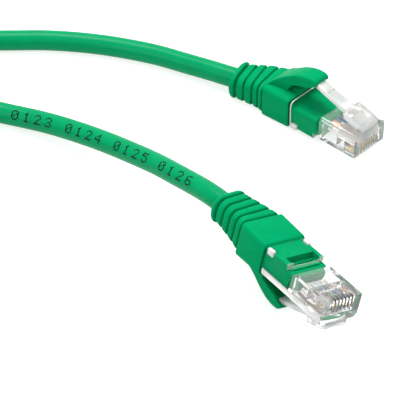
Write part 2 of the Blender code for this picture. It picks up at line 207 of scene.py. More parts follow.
# ---------------------------------------------------------------- materials
class Nodes:
    """A material's node tree, with short calls for adding and joining nodes."""

    def __init__(self, name):
        self.mat = bpy.data.materials.new(name)
        self.mat.use_nodes = True
        self.tree = self.mat.node_tree
        self.shader = self.tree.nodes["Principled BSDF"]

    def add(self, kind, settings=(), **inputs):
        """A node with its settings and inputs; an input's value may be another node's socket."""
        node = self.tree.nodes.new(kind)
        for key, value in dict(settings).items():
            setattr(node, key, value)
        for key, value in inputs.items():
            self.join(node, key.replace("_", " "), value)
        return node

    def join(self, node, key, value):
        """Set one input, or link it when the value is a socket."""
        socket = node.inputs[int(key[1:]) if key[0] == "i" and key[1:].isdigit() else key]
        if isinstance(value, bpy.types.NodeSocket):
            self.tree.links.new(value, socket)
        else:
            socket.default_value = value

    def math(self, operation, first, second=0.0):
        """One maths operation on two values."""
        return self.add("ShaderNodeMath", {"operation": operation}, i0=first, i1=second).outputs[0]

    def noise(self, vector, scale, detail=2.0):
        """A noise value over the surface."""
        return self.add("ShaderNodeTexNoise", Vector=vector, Scale=scale, Detail=detail).outputs[0]

    def mixed(self, factor, first, second):
        """A colour between two colours."""
        node = self.add("ShaderNodeMix", {"data_type": "RGBA"})
        self.join(node, "i0", factor)
        self.join(node, "i6", first)
        self.join(node, "i7", second)
        return node.outputs[2]

    def ranged(self, value, low, high, to_low, to_high):
        """A value carried from one range to another."""
        node = self.add("ShaderNodeMapRange")
        for key, item in zip(("i0", "i1", "i2", "i3", "i4"), (value, low, high, to_low, to_high)):
            self.join(node, key, item)
        return node.outputs[0]

    def bump(self, height, strength, distance):
        """Surface relief from a height value."""
        node = self.add("ShaderNodeBump", Strength=strength, Distance=distance, Height=height)
        return node.outputs[0]

    def object_position(self):
        """Position on the piece, in metres."""
        return self.add("ShaderNodeTexCoord").outputs["Object"]


def rgba(colour):
    """A colour with full opacity."""
    return (*colour, 1.0)


def scaled(colour, factor):
    """A colour made lighter or darker."""
    return tuple(min(1.0, c * factor) for c in colour)


def clouded(n, scale, colour, darker, lighter):
    """A colour with soft darker and lighter clouds over the piece."""
    cloud = n.noise(n.object_position(), scale, 3.0)
    share = n.ranged(cloud, 0.3, 0.7, 0.0, 1.0)
    return n.mixed(share, rgba(scaled(colour, darker)), rgba(scaled(colour, lighter)))


# Repeat lengths in metres: the pairs' twist, a wire's stripe and the strap's two yarns.
PAIR_LAY = 0.017
STRIPE_LAY = 0.011
WARP_PITCH = 0.0007
WEFT_PITCH = 0.0006


def soft_plastic(name, colour, roughness, grain, relief, specular):
    """Moulded PVC: faint cloudiness, fine satin grain and slightly uneven gloss."""
    n = Nodes(name)
    place = n.object_position()
    n.join(n.shader, "Base Color", clouded(n, 260.0, colour, 0.94, 1.05))
    patches = n.noise(place, 700.0)
    n.join(n.shader, "Roughness", n.ranged(patches, 0.3, 0.7, roughness - 0.05, roughness + 0.06))
    n.join(n.shader, "Normal", n.bump(n.noise(place, grain, 4.0), relief, 0.00004))
    n.shader.inputs["Specular IOR Level"].default_value = specular
    return n.mat


def jacket_plastic(name, colour):
    """Extruded PVC: fine draw lines along the cord and a faint lay of the twisted pairs beneath."""
    n = Nodes(name)
    line = n.add("ShaderNodeUVMap", {"uv_map": "line"}).outputs[0]
    parts = n.add("ShaderNodeSeparateXYZ", Vector=line)
    lay = n.math("MULTIPLY", parts.outputs[0], 1.0 / PAIR_LAY)
    around = n.math("MULTIPLY", parts.outputs[1], 4.0)
    turn = n.math("MULTIPLY", n.math("ADD", lay, around), 2.0 * math.pi)
    wave = n.math("SINE", turn)
    stretch = n.add("ShaderNodeCombineXYZ", X=n.math("MULTIPLY", parts.outputs[0], 60.0))
    n.join(stretch, "Y", n.math("MULTIPLY", parts.outputs[1], 40.0))
    streak = n.noise(stretch.outputs[0], 1.0, 3.0)
    height = n.math("ADD", n.math("MULTIPLY", wave, 0.35), streak)
    n.join(n.shader, "Normal", n.bump(height, 0.18, 0.00005))
    n.join(n.shader, "Base Color", clouded(n, 180.0, colour, 0.95, 1.06))
    n.join(n.shader, "Roughness", n.ranged(streak, 0.3, 0.7, 0.20, 0.27))
    n.shader.inputs["Specular IOR Level"].default_value = 0.06
    return n.mat


def clear_plastic(name, colour, roughness, milk, alpha=1.0):
    """Moulded polycarbonate: clear, with faint flow lines, a little haze and a share of milkiness."""
    n = Nodes(name)
    n.shader.inputs["Base Color"].default_value = rgba(colour)
    n.shader.inputs["Transmission Weight"].default_value = 1.0 - milk
    n.shader.inputs["IOR"].default_value = 1.48
    n.shader.inputs["Alpha"].default_value = alpha
    place = n.object_position()
    haze = n.noise(place, 420.0, 3.0)
    n.join(n.shader, "Roughness", n.ranged(haze, 0.35, 0.75, roughness * 0.4, roughness))
    flow = n.add("ShaderNodeTexWave", {"bands_direction": "Y"}, Vector=place, Scale=180.0)
    n.join(flow, "Distortion", 6.0)
    n.join(n.shader, "Normal", n.bump(flow.outputs[1], 0.03, 0.00003))
    return n.mat


def gold_plate(name):
    """Thin gold over bronze: warm metal with fine drawn scratches and dull patches."""
    n = Nodes(name)
    place = n.object_position()
    n.shader.inputs["Metallic"].default_value = 1.0
    dull = n.noise(place, 900.0, 3.0)
    tone = n.mixed(n.ranged(dull, 0.35, 0.65, 0.0, 1.0), rgba((0.80, 0.58, 0.26)), rgba((0.62, 0.45, 0.24)))
    n.join(n.shader, "Base Color", tone)
    n.join(n.shader, "Roughness", n.ranged(dull, 0.35, 0.65, 0.20, 0.38))
    scratch = n.add("ShaderNodeTexNoise", {"noise_dimensions": "3D"}, Vector=place, Scale=5200.0)
    n.join(n.shader, "Normal", n.bump(scratch.outputs[0], 0.12, 0.00001))
    return n.mat


def insulation(name, colour, stripe=None):
    """Wire insulation, plain or pale with one stripe winding round it."""
    n = Nodes(name)
    place = n.object_position()
    cloud = n.noise(place, 1500.0)
    tone = n.mixed(cloud, rgba(scaled(colour, 0.9)), rgba(scaled(colour, 1.1)))
    if stripe:
        line = n.add("ShaderNodeUVMap", {"uv_map": "line"}).outputs[0]
        parts = n.add("ShaderNodeSeparateXYZ", Vector=line)
        lay = n.math("MULTIPLY", parts.outputs[0], 1.0 / STRIPE_LAY)
        band = n.math("FRACT", n.math("ADD", lay, parts.outputs[1]))
        tone = n.mixed(n.math("LESS_THAN", band, 0.14), tone, rgba(stripe))
    n.join(n.shader, "Base Color", tone)
    n.join(n.shader, "Roughness", n.ranged(cloud, 0.3, 0.7, 0.32, 0.45))
    n.join(n.shader, "Normal", n.bump(n.noise(place, 4200.0), 0.1, 0.00001))
    return n.mat


def strap_fabric(name):
    """Woven hook-and-loop strap: dark yarn crossing both ways under short fuzz, with painted shade: darker in
    the weave's dips and lighter where it rises.
    """
    n = Nodes(name)
    line = n.add("ShaderNodeUVMap", {"uv_map": "line"}).outputs[0]
    parts = n.add("ShaderNodeSeparateXYZ", Vector=line)
    warp = n.math("SINE", n.math("MULTIPLY", parts.outputs[0], 2.0 * math.pi / WARP_PITCH))
    weft = n.math("SINE", n.math("MULTIPLY", parts.outputs[1], 2.0 * math.pi / WEFT_PITCH))
    weave = n.math("MULTIPLY", warp, weft)
    fuzz = n.noise(n.object_position(), 3800.0, 5.0)
    height = n.math("ADD", n.math("MULTIPLY", weave, 0.5), fuzz)
    # Painted shade: the yarn's colour follows the weave's height, darker in its dips and lighter on its
    # rises.
    share = n.ranged(height, 0.1, 1.0, 0.0, 1.0)
    tone = n.mixed(share, rgba((0.008, 0.008, 0.009)), rgba((0.045, 0.045, 0.05)))
    n.join(n.shader, "Base Color", tone)
    n.shader.inputs["Roughness"].default_value = 0.92
    n.shader.inputs["Sheen Weight"].default_value = 0.25
    n.join(n.shader, "Normal", n.bump(height, 0.7, 0.00015))
    return n.mat


def print_ink(name):
    """Matt black printing ink, a little thin in places."""
    n = Nodes(name)
    thin = n.noise(n.object_position(), 2500.0)
    n.join(n.shader, "Base Color", n.mixed(thin, rgba((0.004, 0.006, 0.005)), rgba((0.012, 0.03, 0.02))))
    n.join(n.shader, "Roughness", n.ranged(thin, 0.3, 0.7, 0.5, 0.7))
    n.shader.inputs["Specular IOR Level"].default_value = 0.05
    return n.mat


# ---------------------------------------------------------------- mesh helpers
def add_piece(name, mesh, body, mat, matrix=None):
    """Link a mesh as a piece that rides on a body."""
    piece = bpy.data.objects.new(name, mesh)
    bpy.context.scene.collection.objects.link(piece)
    if matrix is not None:
        piece.matrix_world = matrix
    if not mesh.materials:
        mesh.materials.append(mat)
    if body:
        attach(piece, body)
    return piece


def finish_mesh(name, bm, sharp=35.0):
    """A mesh in metres from a bmesh in mm, with faces pointing out and round stretches smooth."""
    bmesh.ops.recalc_face_normals(bm, faces=bm.faces)
    bmesh.ops.scale(bm, vec=(MM, MM, MM), verts=bm.verts)
    mesh = bpy.data.meshes.new(name)
    bm.to_mesh(mesh)
    bm.free()
    mesh.shade_smooth()
    mesh.set_sharp_from_angle(angle=math.radians(sharp))
    return mesh


def section(half_width, low, high, low_radius, high_radius, steps=6):
    """A rounded rectangle in Y and Z with its own corner radius below and above."""
    most = 0.49 * min(2.0 * half_width, high - low)
    low_radius, high_radius = min(low_radius, most), min(high_radius, most)
    corners = (
        (half_width - low_radius, low + low_radius, low_radius, -90.0),
        (half_width - high_radius, high - high_radius, high_radius, 0.0),
        (high_radius - half_width, high - high_radius, high_radius, 90.0),
        (low_radius - half_width, low + low_radius, low_radius, 180.0),
    )
    points = []
    for y, z, radius, start in corners:
        for step in range(steps + 1):
            angle = math.radians(start + 90.0 * step / steps)
            points.append((y + radius * math.cos(angle), z + radius * math.sin(angle)))
    return points


def loft_bmesh(stations):
    """A closed solid through sections. A station is a frame matrix and its Y, Z outline."""
    bm = bmesh.new()
    rings = []
    for place, outline in stations:
        rings.append([bm.verts.new(place @ Vector((0.0, y, z))) for y, z in outline])
    for back, front in zip(rings, rings[1:]):
        count = len(back)
        for i in range(count):
            j = (i + 1) % count
            bm.faces.new((back[i], back[j], front[j], front[i]))
    bm.faces.new(rings[0][::-1])
    bm.faces.new(rings[-1])
    return bm


def at(x):
    """The frame of an upright station at X."""
    return Matrix.Translation((x, 0.0, 0.0))


def block(name, x_range, y_range, z_range):
    """A box-shaped cutter."""
    bm = bmesh.new()
    bmesh.ops.create_cube(bm, size=1.0)
    for vert in bm.verts:
        for axis, (low, high) in enumerate((x_range, y_range, z_range)):
            vert.co[axis] = high if vert.co[axis] > 0.0 else low
    return finish_mesh(name, bm)


def combined(name, base, tools, operation, bevel=0.0):
    """Apply one Boolean for each tool mesh, then an optional small bevel on the sharp edges."""
    body = bpy.data.objects.new(name, base)
    bpy.context.scene.collection.objects.link(body)
    helpers = [body]
    for tool in tools:
        helper = bpy.data.objects.new(tool.name, tool)
        bpy.context.scene.collection.objects.link(helper)
        modifier = body.modifiers.new(tool.name, "BOOLEAN")
        modifier.operation = operation
        modifier.object = helper
        helpers.append(helper)
    if bevel:
        modifier = body.modifiers.new("edges", "BEVEL")
        modifier.width = bevel * MM
        modifier.segments = 2
        modifier.limit_method = "ANGLE"
        modifier.angle_limit = math.radians(50.0)
    view = bpy.context.evaluated_depsgraph_get()
    mesh = bpy.data.meshes.new_from_object(body.evaluated_get(view))
    mesh.name = name
    for obj in helpers:
        bpy.data.objects.remove(obj, do_unlink=True)
    mesh.shade_smooth()
    mesh.set_sharp_from_angle(angle=math.radians(35.0))
    return mesh


def smooth_line(points, spacing):
    """Points evenly along a Catmull-Rom curve through the given points."""
    first = points[0] * 2.0 - points[1]
    last = points[-1] * 2.0 - points[-2]
    ends = [first, *points, last]
    fine = []
    steps = 24
    for p0, p1, p2, p3 in zip(ends, ends[1:], ends[2:], ends[3:]):
        for step in range(steps):
            t = step / steps
            fine.append(
                0.5
                * (
                    2.0 * p1
                    + (p2 - p0) * t
                    + (2.0 * p0 - 5.0 * p1 + 4.0 * p2 - p3) * t**2
                    + (3.0 * p1 - p0 - 3.0 * p2 + p3) * t**3
                )
            )
    fine.append(points[-1])
    lengths = distances(fine)
    count = max(2, round(lengths[-1] / spacing))
    even = []
    index = 0
    for i in range(count + 1):
        goal = lengths[-1] * i / count
        while index < len(lengths) - 2 and lengths[index + 1] < goal:
            index += 1
        share = (goal - lengths[index]) / (lengths[index + 1] - lengths[index])
        even.append(fine[index].lerp(fine[index + 1], share))
    return even


def distances(points):
    """Distance along a line of points, at each point."""
    total = [0.0]
    for a, b in zip(points, points[1:]):
        total.append(total[-1] + (b - a).length)
    return total


def sweep(name, points, radius, sides):
    """A round tube along points in mm. Its UV map "line" holds metres along and turns around."""
    travelled = distances(points)
    bm = bmesh.new()
    uv = bm.loops.layers.uv.new("line")
    rings = []
    side = Vector((0.0, 0.0, 1.0))
    for i, point in enumerate(points):
        before, after = points[max(i - 1, 0)], points[min(i + 1, len(points) - 1)]
        along = (after - before).normalized()
        side = (side - along * side.dot(along)).normalized()
        across = along.cross(side)
        ring = []
        for k in range(sides):
            angle = 2.0 * math.pi * k / sides
            ring.append(bm.verts.new(point + (side * math.cos(angle) + across * math.sin(angle)) * radius))
        rings.append(ring)
    for i, (back, front) in enumerate(zip(rings, rings[1:])):
        for k in range(sides):
            j = (k + 1) % sides
            face = bm.faces.new((back[k], back[j], front[j], front[k]))
            corners = ((i, k), (i, k + 1), (i + 1, k + 1), (i + 1, k))
            for loop, (row, step) in zip(face.loops, corners):
                loop[uv].uv = (travelled[row] * MM, step / sides)
    bm.faces.new(rings[0][::-1])
    bm.faces.new(rings[-1])
    return finish_mesh(name, bm, 60.0)


# ---------------------------------------------------------------- cord
def coil_line():
    """Centreline of the wound length: in on the lower layer, up a step, out on the upper one."""
    turns = (COIL_END_ANGLE - COIL_START_ANGLE) / 360.0 + COIL_FULL_TURNS
    steps = round(turns * 60)
    points = []
    for step in range(steps + 1):
        turn = turns * step / steps
        from_middle = abs(turn - turns / 2) / (turns / 2)
        radius = COIL_INNER_TURN + (COIL_OUTER_TURN - COIL_INNER_TURN) * from_middle
        climb = min(max((turn - turns / 2) / COIL_CLIMB_TURNS + 0.5, 0.0), 1.0)
        climb = climb * climb * (3.0 - 2.0 * climb)
        angle = math.radians(COIL_START_ANGLE + 360.0 * turn)
        flat = Vector((math.cos(angle), math.sin(angle), 0.0)) * radius
        layer = Vector((0.0, 0.0, COIL_LOW_Z + (COIL_HIGH_Z - COIL_LOW_Z) * climb))
        points.append(COIL_CENTRE + flat + layer)
    return points


def cord_line():
    """The cord's whole centreline in mm, from boot A through the coil to boot B."""
    out = [Vector(p) / MM for p in ROUTE_A]
    back = [Vector(p) / MM for p in reversed(ROUTE_B)]
    out.insert(0, out[0] - (out[1] - out[0]).normalized() * CORD_IN_BOOT)
    back.append(back[-1] + (back[-1] - back[-2]).normalized() * CORD_IN_BOOT)
    return smooth_line(out + coil_line() + [COIL_EXIT] + back, CORD_STEP)


PRINT_TEXT = "0123 0124 0125 0126"
PRINT_FACING = Vector((0.0, -0.74, 0.67))
PRINT_END_GAP = 9.9
PRINT_PITCH = 3.41
DOT_PITCH = 0.37
DOT_RADIUS = 0.215
DOT_SIDES = 8
DOT_STRETCH = 1.1
DIGIT_ROWS = {
    "0": ".###. #...# #..## #.#.# ##..# #...# .###.",
    "1": "..#.. .##.. ..#.. ..#.. ..#.. ..#.. .###.",
    "2": ".###. #...# ....# ...#. ..#.. .#... #####",
    "3": ".###. #...# ....# ..##. ....# #...# .###.",
    "4": "...#. ..##. .#.#. #..#. ##### ...#. ...#.",
    "5": "##### #.... ####. ....# ....# #...# .###.",
    "6": ".###. #.... #.... ####. #...# #...# .###.",
    " ": "..... ..... ..... ..... ..... ..... .....",
}


def print_mesh(line):
    """Plain dot-matrix numbers on the jacket near plug B, each dot a thin raised disc."""
    travelled = distances(line)
    start = travelled[-1] - PRINT_END_GAP - PRINT_PITCH * len(PRINT_TEXT)
    bm = bmesh.new()
    for place, character in enumerate(PRINT_TEXT):
        for row, cells in enumerate(DIGIT_ROWS[character].split()):
            for column, cell in enumerate(cells):
                if cell == "#":
                    distance = start + PRINT_PITCH * place + DOT_PITCH * column * DOT_STRETCH
                    add_dot(bm, line, travelled, distance, DOT_PITCH * (3 - row))
    return finish_mesh("jacket_print", bm)


def add_dot(bm, line, travelled, distance, height):
    """One printed dot on the jacket at a distance along it and a height round it."""
    index = int(np.searchsorted(travelled, distance)) - 1
    share = (distance - travelled[index]) / (travelled[index + 1] - travelled[index])
    centre = line[index].lerp(line[index + 1], share)
    along = (line[index + 1] - line[index]).normalized()
    facing = (PRINT_FACING - along * PRINT_FACING.dot(along)).normalized()
    up = facing.cross(along)
    if up.z < 0.0:
        up = -up
    rings = []
    for lift in (-0.05, 0.02):
        ring = []
        for k in range(DOT_SIDES):
            corner = 2.0 * math.pi * k / DOT_SIDES
            angle = (height + DOT_RADIUS * math.sin(corner)) / CORD_RADIUS
            out = facing * math.cos(angle) + up * math.sin(angle)
            shift = along * DOT_RADIUS * math.cos(corner)
            ring.append(bm.verts.new(centre + shift + out * (CORD_RADIUS + lift)))
        rings.append(ring)
    low, high = rings
    bm.faces.new(low[::-1])
    bm.faces.new(high)
    for k in range(DOT_SIDES):
        j = (k + 1) % DOT_SIDES
        bm.faces.new((low[k], low[j], high[j], high[k]))


def strap_mesh(name):
    """A strap round the coil's section with its end lapped over on top, at the ring's +Y side."""
    half = (COIL_OUTER_TURN - COIL_INNER_TURN) / 2 + CORD_RADIUS
    middle = (COIL_OUTER_TURN + COIL_INNER_TURN) / 2
    low, high = COIL_LOW_Z - CORD_RADIUS, COIL_HIGH_Z + CORD_RADIUS
    outline = section(half + 0.55, low - 0.6, high + 0.55, TIE_CORNER_RADIUS, TIE_CORNER_RADIUS, 8)
    path = [Vector((0.0, middle + y, z)) for y, z in outline]
    start = next(i for i, p in enumerate(path) if p.z > high)
    path = smooth_line(path[start:] + path[:start] + path[start : start + 1], 0.8)
    lap = [path[0] + Vector((0.0, 0.0, 0.35))]
    for i, point in enumerate(path[1:TIE_LAP_POINTS], start=1):
        lap.append(point + Vector((0.0, 0.0, 0.55 + 0.25 * min(1.0, i / 3))))
    path = path + lap
    travelled = distances(path)
    bm = bmesh.new()
    uv = bm.loops.layers.uv.new("line")
    rings = []
    for i, point in enumerate(path):
        before, after = path[max(i - 1, 0)], path[min(i + 1, len(path) - 1)]
        along = (after - before).normalized()
        out = along.cross(Vector((1.0, 0.0, 0.0)))
        from_end = min(1.0, (travelled[-1] - travelled[i]) / TIE_ROUND_END)
        narrow = TIE_HALF_WIDTH * math.sqrt(max(0.15, 1.0 - (1.0 - from_end) ** 2))
        ring = []
        for y, z in section(narrow, -TIE_THICKNESS / 2, TIE_THICKNESS / 2, 0.2, 0.2, 2):
            ring.append((bm.verts.new(point + Vector((y, 0.0, 0.0)) + out * z), y))
        rings.append(ring)
    for i, (back, front) in enumerate(zip(rings, rings[1:])):
        count = len(back)
        for k in range(count):
            j = (k + 1) % count
            quad = (back[k], back[j], front[j], front[k])
            face = bm.faces.new([vert for vert, _ in quad])
            for loop, (row, (_, y)) in zip(face.loops, zip((i, i, i + 1, i + 1), quad)):
                loop[uv].uv = (travelled[row] * MM, y * MM)
    bm.faces.new([vert for vert, _ in rings[0]][::-1])
    bm.faces.new([vert for vert, _ in rings[-1]])
    return finish_mesh(name, bm)


def add_cord():
    """The jacket as one tube, its printed marks and the two straps on the coil."""
    line = cord_line()
    tube = sweep("jacket", line, CORD_RADIUS, CORD_SIDES)
    jacket = add_piece("jacket", tube, "cable", MATERIALS["jacket"])
    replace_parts(jacket, "jacket_leg_a", "jacket_leg_b", "jacket_coil")
    marks = add_piece("jacket_print", print_mesh(line), "cable", MATERIALS["ink"])
    for number, angle in enumerate(TIE_ANGLES, start=1):
        place = Matrix.Translation(COIL_CENTRE * MM) @ turned(0.0, 0.0, angle - 90.0)
        name = f"strap_{number}"
        strap = add_piece(name, strap_mesh(name), "cable", MATERIALS["strap"], place)
        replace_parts(strap, f"coil_tie_{number}")


# ---------------------------------------------------------------- plug pieces
PITCH = 1.02
WAYS = 8
WIRE_RADIUS = 0.46
WIRES = ("white_orange", "orange", "white_green", "blue", "white_blue", "green", "white_brown", "brown")

BODY_HALF_WIDTH = 5.85
BODY_HIGH = 6.6
BODY_REAR_LOW = -1.4
BODY_LOW_RADIUS = 0.35
BODY_TOP_RADIUS = 1.4
CORE_COVERED_X = -12.0
RIM_FRONT_X = -21.5
RIM_LOW_Z = -1.3
STRIP_INNER_Y = 4.3
STRIP_LOW_Z = 4.4
STRIP_FRONT_X = -0.4
STEP_X = (-14.6, -13.9)
STEP_TOP_Z = 0.35
WIRE_ROOM_X = (-7.0, -1.1)
WIRE_ROOM_TOP_Z = 4.45
SLOT_HALF_WIDTH = 0.24
PAD_SIZE = Vector((2.2, 1.1, 1.7))
PAD_PLACE = Vector((-20.6, 5.35, -0.6))
PAD_ROUNDING = 0.35

# The housing's material slots, in order.
HOUSING_SLOTS = ("clear", "clear_over_core", "clear_edge", "clear_rib", "clear_hazy")
OVER_CORE, EDGE, RIB, HAZY = range(1, 5)


def across_at(way):
    """Where a contact and its wire sit across the plug."""
    return (way - (WAYS - 1) / 2) * PITCH


def housing_mesh():
    """Clear body: rounded shell, room for the core and wires, a comb of slots for the contacts."""
    stations = []
    for x, low, inset in (
        (-22.0, BODY_REAR_LOW, 0.15),
        (-21.85, BODY_REAR_LOW, 0.0),
        (RIM_FRONT_X, BODY_REAR_LOW, 0.0),
        (-14.5, BODY_REAR_LOW, 0.0),
        (-14.15, -1.25, 0.0),
        (-14.0, 0.0, 0.0),
        (CORE_COVERED_X, 0.0, 0.0),
        (-0.35, 0.0, 0.0),
        (-0.1, 0.0, 0.12),
        (0.0, 0.0, 0.28),
    ):
        size = (BODY_HALF_WIDTH - inset, low + inset, BODY_HIGH - inset)
        stations.append((at(x), section(*size, BODY_LOW_RADIUS, BODY_TOP_RADIUS)))
    body = finish_mesh("housing", loft_bmesh(stations))
    cuts = [
        block("rear_room", (-24.0, -14.3), (-5.6, 5.6), (-1.2, 5.1)),
        block("front_room", (-18.0, -11.0), (-5.6, 5.6), (0.3, 5.1)),
        block("funnel", (-12.0, -6.6), (-4.5, 4.5), (0.9, 5.3)),
        block("wire_room", WIRE_ROOM_X, (-4.12, 4.12), (3.35, WIRE_ROOM_TOP_Z)),
        block("crimp_room", (-16.6, -14.1), (-3.9, 3.9), (-3.0, -0.5)),
    ]
    for way in range(WAYS):
        y = across_at(way)
        sides = (y - SLOT_HALF_WIDTH, y + SLOT_HALF_WIDTH)
        cuts.append(block(f"slot_{way}", (-4.4, 1.0), sides, (-1.0, 3.5)))
    mesh = combined("housing", body, cuts, "DIFFERENCE", 0.05)
    for slot in HOUSING_SLOTS:
        mesh.materials.append(MATERIALS[slot])
    split_at_strip(mesh)
    for face in mesh.polygons:
        face.material_index = housing_slot(face.center / MM, face.normal)
    add_rear_pads(mesh)
    return mesh


def split_at_strip(mesh):
    """Cut the housing's faces along the lower edge of the milky strip."""
    bm = bmesh.new()
    bm.from_mesh(mesh)
    bmesh.ops.bisect_plane(
        bm,
        geom=bm.verts[:] + bm.edges[:] + bm.faces[:],
        plane_co=(0.0, 0.0, STRIP_LOW_Z * MM),
        plane_no=(0.0, 0.0, 1.0),
    )
    bm.to_mesh(mesh)
    bm.free()


def housing_slot(centre, normal):
    """The material slot of a housing face, from its middle in mm and its direction."""
    x, y, z = centre
    rim = x < RIM_FRONT_X and normal.x > -0.9 and y < STRIP_INNER_Y and z > RIM_LOW_Z
    strip = y > STRIP_INNER_Y and z > STRIP_LOW_Z and x < STRIP_FRONT_X
    if rim or strip:
        return RIB
    if STEP_X[0] < x < STEP_X[1] and z < STEP_TOP_Z:
        return EDGE
    if abs(z - WIRE_ROOM_TOP_Z) < 0.02 and WIRE_ROOM_X[0] < x < WIRE_ROOM_X[1] + 0.1:
        return HAZY
    return OVER_CORE if x < CORE_COVERED_X else 0


def add_rear_pads(mesh):
    """Two rounded clear pads low on the housing's sides, next to the boot, added to its mesh."""
    bm = bmesh.new()
    bm.from_mesh(mesh)
    for side in (-1.0, 1.0):
        pad = bmesh.ops.create_cube(bm, size=1.0)["verts"]
        bmesh.ops.scale(bm, vec=PAD_SIZE * MM, verts=pad)
        place = Vector((PAD_PLACE.x, side * PAD_PLACE.y, PAD_PLACE.z))
        bmesh.ops.translate(bm, vec=place * MM, verts=pad)
        edges = list({edge for vert in pad for edge in vert.link_edges})
        width = PAD_ROUNDING * MM
        rounded = bmesh.ops.bevel(bm, geom=edges, offset=width, segments=3, affect="EDGES", profile=0.5)
        for face in {face for vert in rounded["verts"] for face in vert.link_faces}:
            face.material_index = RIB
            face.smooth = True
    bm.to_mesh(mesh)
    bm.free()


SHOULDER_REAR_X = -6.9


def latch_mesh():
    """Clear latch: curved root, wide part with shoulders, narrow lever to a rounded end."""
    stations = []
    for x, half_width, low, high in (
        (-18.8, 1.25, 12.15, 12.7),
        (-18.6, 1.5, 11.95, 12.85),
        (-18.2, 1.62, 11.75, 12.85),
        (-14.5, 1.65, 10.6, 11.83),
        (-10.5, 1.65, 9.38, 10.74),
        (-7.0, 1.65, 8.28, 9.78),
        (-6.85, 1.75, 8.24, 9.74),
        (-6.7, 2.95, 8.2, 10.1),
        (-6.55, 3.1, 8.15, 10.17),
        (-4.4, 3.1, 7.6, 9.7),
        (-2.2, 3.1, 7.0, 9.2),
        (-1.3, 3.1, 6.95, 8.84),
        (-0.6, 3.1, 6.97, 8.45),
        (-0.25, 3.1, 7.05, 8.15),
        (-0.1, 3.05, 7.2, 7.85),
    ):
        stations.append((at(x), section(half_width, low, high, 0.15, 0.22, 3)))
    body = finish_mesh("latch", loft_bmesh(stations))
    cuts = [block("thumb_groove", (-13.5, -12.9), (-1.2, 1.2), (11.15, 12.5))]
    mesh = combined("latch", body, cuts, "DIFFERENCE", 0.04)
    mesh.materials.append(MATERIALS["clear_latch"])
    mesh.materials.append(MATERIALS["clear_shoulder"])
    for face in mesh.polygons:
        face.material_index = 1 if face.center.x > SHOULDER_REAR_X * MM else 0
    return mesh


def root_web_mesh():
    """The latch's living hinge: a thin clear web from the nose up into the latch's root."""
    stations = []
    for x, high in ((-1.9, 7.12), (-1.2, 7.2), (-0.6, 7.2), (-0.35, 7.1), (-0.2, 7.0)):
        stations.append((at(x), section(3.0, 6.5, high, 0.05, 0.05, 1)))
    bm = loft_bmesh(stations)
    bmesh.ops.subdivide_edges(bm, edges=bm.edges[:], cuts=2, use_grid_fill=True)
    return finish_mesh("root_web", bm)


TAIL_RIBS = 5
RIB_LENGTH = 1.8
GROOVE_LENGTH = 0.75
TAIL_BEND_SHARE = 0.4
TAIL_LOW = -2.3

# How far the outline is sunk along one rib: a groove, then the rib or the collar's rounded end.
GROOVE_PROFILE = ((0.0, 0.6), (0.14, 0.7), (0.42, 0.7), (0.54, 0.6), (0.62, 0.24), (0.74, 0.08), (0.95, 0.01))
RIB_PROFILE = ((1.7, 0.0), (2.2, 0.01), (2.42, 0.08), (2.51, 0.25))
COLLAR_PROFILE = ((1.3, 0.0), (1.7, 0.12), (2.1, 0.4), (2.4, 0.8), (2.55, 1.2))
COLLAR_START = 0.6

BLOCK_REAR_X = -31.4
BLOCK_LENGTH = 9.1
BLOCK_HALF_WIDTH = 6.3
BLOCK_HIGH = 6.85
BLOCK_REAR_LOW = -2.4
BLOCK_LOW_RISE = 0.6
BLOCK_STATIONS = ((-31.4, 0.45), (-31.33, 0.2), (-31.2, 0.05), (-31.0, 0.0), (-22.75, 0.0), (-22.5, 0.06))
CORE_LEAN = -0.2


def tail_frame(distance, bend_degrees):
    """The frame of a tail station: the tail bends sideways near the block, then runs straight."""
    bend_length = TAIL_BEND_SHARE * TAIL_RIBS * (RIB_LENGTH + GROOVE_LENGTH)
    radius = bend_length / math.radians(bend_degrees)
    angle = min(distance, bend_length) / radius
    straight = max(distance - bend_length, 0.0)
    along = radius * math.sin(angle) + straight * math.cos(angle)
    across = radius * (1.0 - math.cos(angle)) + straight * math.sin(angle)
    return Matrix.Translation((BLOCK_REAR_X - along, across, 0.0)) @ Matrix.Rotation(-angle, 4, "Z")


def tail_section(share, depth, collar):
    """The tail's outline at a share of its length, sunk by a depth."""
    half_width = 6.1 - 1.4 * share + 0.3 * collar - depth
    high = 6.25 - 1.9 * share + 0.45 * collar - depth
    radius = 1.6 + 1.2 * share
    return section(half_width, TAIL_LOW + depth, high, radius, radius, 8)


def tail_stations(bend):
    """The tail from its collar to the block: one groove and one rib at a time."""
    length = TAIL_RIBS * (RIB_LENGTH + GROOVE_LENGTH)
    stations = []
    for rib in range(TAIL_RIBS):
        start = rib * (RIB_LENGTH + GROOVE_LENGTH)
        last = rib == TAIL_RIBS - 1
        for offset, depth in GROOVE_PROFILE + (COLLAR_PROFILE if last else RIB_PROFILE):
            distance = start + offset
            collar = 1.0 if last and offset > COLLAR_START else 0.0
            outline = tail_section(distance / length, depth, collar)
            stations.append((tail_frame(distance, bend), outline))
    return stations[::-1]


def block_stations():
    """The boot's square block, its underside rising a little towards the front."""
    stations = []
    for x, inset in BLOCK_STATIONS:
        low = BLOCK_REAR_LOW + BLOCK_LOW_RISE * (x - BLOCK_REAR_X) / BLOCK_LENGTH
        size = (BLOCK_HALF_WIDTH - inset, low + inset, BLOCK_HIGH - inset)
        stations.append((at(x), section(*size, 1.0, 1.2, 8)))
    stations.append((at(-22.35), section(6.05, -1.6, 6.65, 0.9, 1.1, 8)))
    return stations


